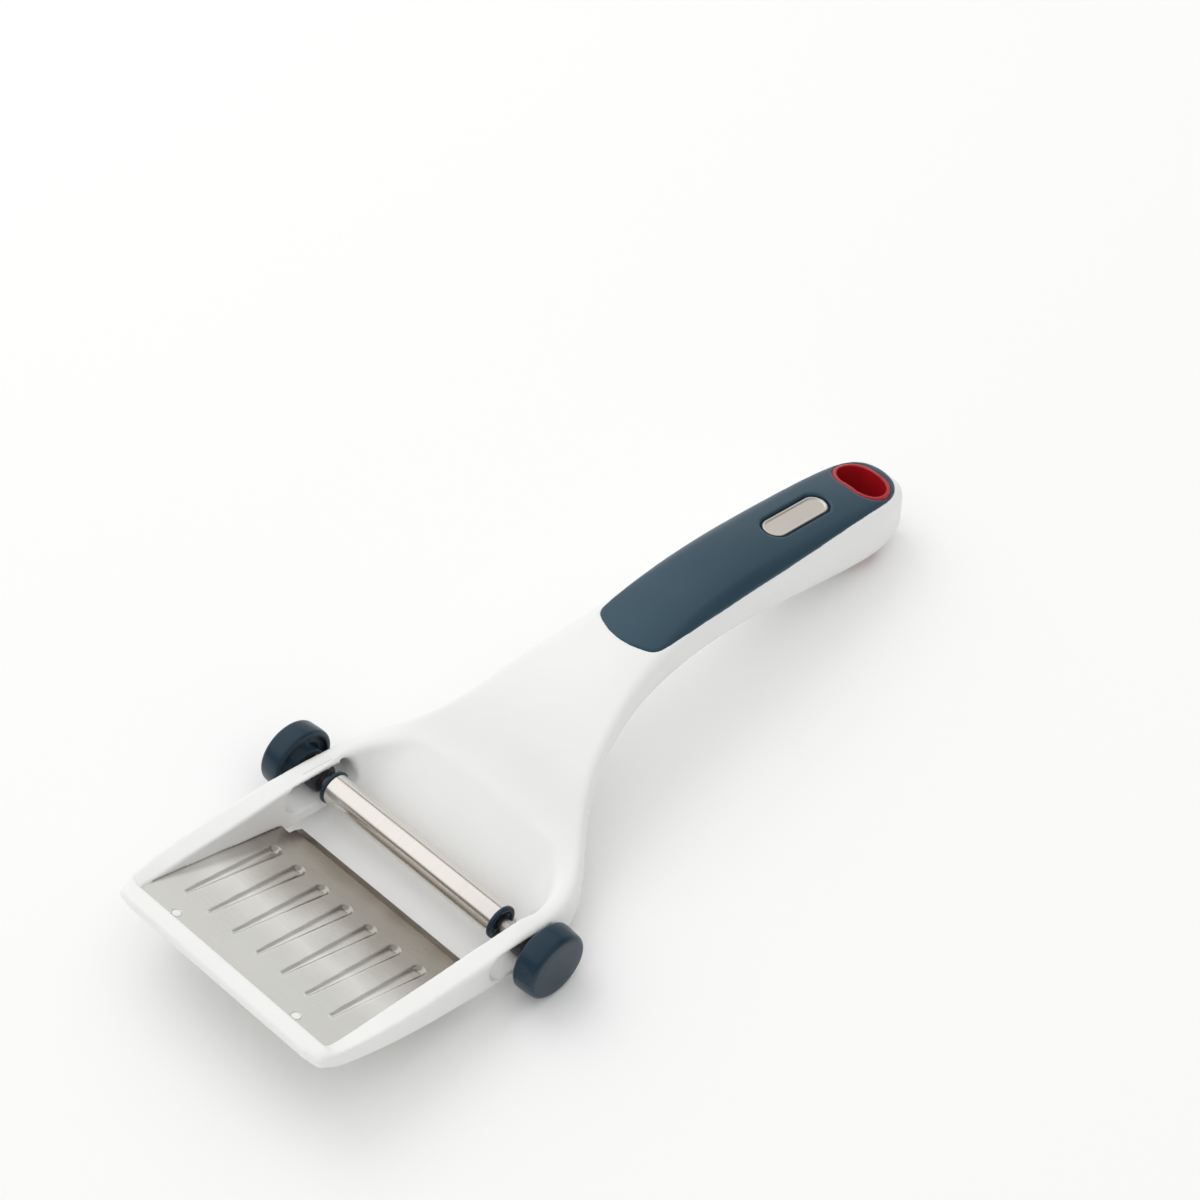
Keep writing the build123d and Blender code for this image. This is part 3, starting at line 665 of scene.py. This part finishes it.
# %% Thickness mark
skin_tree = BVHTree.FromObject(frame_shell, bpy.context.evaluated_depsgraph_get())
mark = bmesh.new()
bmesh.ops.create_grid(mark, x_segments=4, y_segments=40, size=0.5)
for vert in mark.verts:
    part = vert.co.y + 0.5
    width = (0.15 + 1.0 * part) * MM
    x = -39.1 * MM + vert.co.x * width
    y = axle_y + (-6.4 + 10.2 * part) * MM
    hit = skin_tree.ray_cast(Vector((x, y, 40 * MM)), Vector((0, 0, -1)))[0]
    vert.co = hit - Vector((0, 0, 0.1 * MM))
raised = bmesh.ops.extrude_face_region(mark, geom=mark.faces[:], use_keep_orig=True)
for item in raised["geom"]:
    if isinstance(item, bmesh.types.BMVert):
        item.co.z += 0.24 * MM
bmesh.ops.recalc_face_normals(mark, faces=mark.faces)
thickness_mark = close_piece("thickness_mark", mark, white_abs)

# %% [markdown]
# ## Materials for the pieces that stay as they are
#
# The axle, the brass thread inserts and the plug inside the handle have their right shape already. They
# only need the finish of what they are made of. The nodes that were remade get theirs too.

# %% Finishes of the remaining pieces
kept_finishes = {"grip_core": dark_abs, "axle_rod": rod_steel, "slider_block_left": dark_abs,
                 "slider_block_right": dark_abs, "knob_insert_left": brass, "knob_insert_right": brass,
                 "frame_body": white_abs, "blade_plate": steel_sheet, "grip_pad": slate_tpe,
                 "hang_ring": red_abs, "badge": badge_steel, "roller_tube": roller_steel,
                 "roller_cap_left": slate_abs, "roller_cap_right": slate_abs, "knob_left": slate_abs,
                 "knob_right": slate_abs}
for name, material in kept_finishes.items():
    nodes[name].data.materials.clear()
    nodes[name].data.materials.append(material)

# %% [markdown]
# ## What each piece rides on and stands for
#
# Every piece moves with a body of the construction model. A piece that was remade is listed with the node it
# stands for, and that node is hidden. The stakes and the mark are small details of the frame.

# %% Bodies, replaced nodes and finishes
for piece, body, node, slot in (
        (frame_shell, "frame", "frame_body", "white_abs"), (soft_grip, "frame", "grip_pad", "slate_soft_grip"),
        (hole_ring, "frame", "hang_ring", "red_plastic"), (bare_badge, "frame", "badge", "satin_badge_steel"),
        (fluted_plate, "frame", "blade_plate", "brushed_steel_sheet"), (plate_stakes, "frame", None, "white_abs"),
        (thickness_mark, "frame", None, "white_abs"), (roller_sleeve, "roller", "roller_tube", "polished_steel"),
        (slider_pieces["left"], "carriage", "slider_block_left", "dark_abs"),
        (slider_pieces["right"], "carriage", "slider_block_right", "dark_abs"),
        (cap_pieces["left"], "roller", "roller_cap_left", "slate_plastic"),
        (cap_pieces["right"], "roller", "roller_cap_right", "slate_plastic"),
        (knob_pieces["left"], "left_knob", "knob_left", "slate_plastic"),
        (knob_pieces["right"], "right_knob", "knob_right", "slate_plastic")):
    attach(piece, body)
    if node:
        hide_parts(node)

# %% [markdown]
# ## Table, room and window
#
# The photograph has a white ground with a faint soft shadow, so most light comes from all round, and a
# square lamp high on the left gives it a side. Steel needs more than light: it shows the room. So mirror
# rays see a room with zones, each a tone and the directions where it starts and is full:
#
# - a brown dark low in front, which is the brown band along the roller
# - a pale low wall at the rear left, which the plate mirrors
# - two darker parts at the rear right, which shade the right side of the grip
# - a window overhead on the left, which is the roller's white band
# - a thin dark strip above the pale wall, which is the thin line along the roller
#
# The camera itself sees plain white behind the ground.

# %% Table
bm = bmesh.new()
bmesh.ops.create_grid(bm, x_segments=1, y_segments=1, size=3.0)
table_mesh = bpy.data.meshes.new("table")
bm.to_mesh(table_mesh)
bm.free()
table = bpy.data.objects.new("table", table_mesh)
bpy.context.scene.collection.objects.link(table)
paper, tree, shader = start_material("white_backdrop_paper")
shader.inputs["Base Color"].default_value = (0.96, 0.96, 0.955, 1)
shader.inputs["Roughness"].default_value = 0.9
shader.inputs["Specular IOR Level"].default_value = 0.0
table_mesh.materials.append(paper)

# %% Room
world = bpy.data.worlds.new("studio")
bpy.context.scene.world = world
world.use_nodes = True
tree = world.node_tree
room = tree.nodes["Background"]
direction = add_node(tree, "ShaderNodeTexCoord").outputs["Generated"]
axes = add_node(tree, "ShaderNodeSeparateXYZ", (), {0: direction})
room_tone = add_node(tree, "ShaderNodeRGB")
room_tone.outputs[0].default_value = (0.55, 0.55, 0.55, 1)
room_tone = room_tone.outputs[0]
towards_window = add_node(tree, "ShaderNodeVectorMath",
                          {"operation": "DOT_PRODUCT", 1: (-0.5, -0.05, 0.865)},
                          {0: direction}).outputs["Value"]
zones = (((0.2, 0.175, 0.155, 1), (("Y", 0.1, -0.5), ("Z", 0.62, 0.4))),
         ((0.88, 0.88, 0.87, 1), (("Y", 0.35, 0.6), ("X", 0.05, -0.2), ("Z", 0.05, 0.2))),
         ((0.25, 0.23, 0.21, 1), (("Y", 0.35, 0.6), ("X", 0.15, 0.4), ("Z", 0.65, 0.5))),
         ((0.2, 0.19, 0.18, 1), (("Y", 0.3, 0.6), ("X", -0.3, -0.05), ("Z", 0.5, 0.6), ("Z", 0.9, 0.75))),
         ((1.18, 1.18, 1.18, 1), (("window", 0.6, 0.72), ("X", -0.12, -0.36))),
         ((0.16, 0.14, 0.125, 1), (("Y", 0.5, 0.58), ("X", 0.0, -0.2), ("Z", 0.46, 0.49),
                                   ("Z", 0.61, 0.57))))
for tone, limits in zones:
    part = None
    for axis, none_at, full_at in limits:
        edge = add_node(tree, "ShaderNodeMapRange", {"From Min": none_at, "From Max": full_at},
                        {"Value": towards_window if axis == "window" else axes.outputs[axis]})
        part = edge if part is None else add_node(tree, "ShaderNodeMath", {"operation": "MULTIPLY"},
                                                  {0: part.outputs[0], 1: edge.outputs[0]})
    room_tone = add_node(tree, "ShaderNodeMix", {"data_type": "RGBA", 7: tone},
                         {0: part.outputs[0], 6: room_tone}).outputs[2]
rays = add_node(tree, "ShaderNodeLightPath")
from_above = add_node(tree, "ShaderNodeVectorMath", {"operation": "DOT_PRODUCT", 1: (-0.36, -0.1, 0.93)},
                      {0: direction})
soft_part = add_node(tree, "ShaderNodeMapRange", {"From Min": -0.15, "From Max": 0.75},
                     {"Value": from_above.outputs["Value"]})
soft_light = add_node(tree, "ShaderNodeMix",
                      {"data_type": "RGBA", 6: (0.42, 0.42, 0.415, 1), 7: (1.03, 1.03, 1.03, 1)},
                      {0: soft_part.outputs[0]})
lit = add_node(tree, "ShaderNodeMix", {"data_type": "RGBA"},
               {0: rays.outputs["Is Glossy Ray"], 6: soft_light.outputs[2], 7: room_tone})
seen = add_node(tree, "ShaderNodeMix", {"data_type": "RGBA", 7: (1, 1, 1, 1)},
                {0: rays.outputs["Is Camera Ray"], 6: lit.outputs[2]})
tree.links.new(seen.outputs[2], room.inputs["Color"])
room.inputs["Strength"].default_value = 1.0
bpy.context.scene.view_settings.view_transform = "Standard"

# %% Lamp
lamp_data = bpy.data.lights.new("window_light", "AREA")
lamp_data.shape = "SQUARE"
lamp_data.size = 0.9
lamp_data.energy = 3.0
lamp = bpy.data.objects.new("window_light", lamp_data)
lamp.location = (-0.85, 0.15, 1.15)
lamp.visible_glossy = False
lamp.rotation_euler = (-lamp.location).to_track_quat("-Z", "Y").to_euler()
bpy.context.scene.collection.objects.link(lamp)
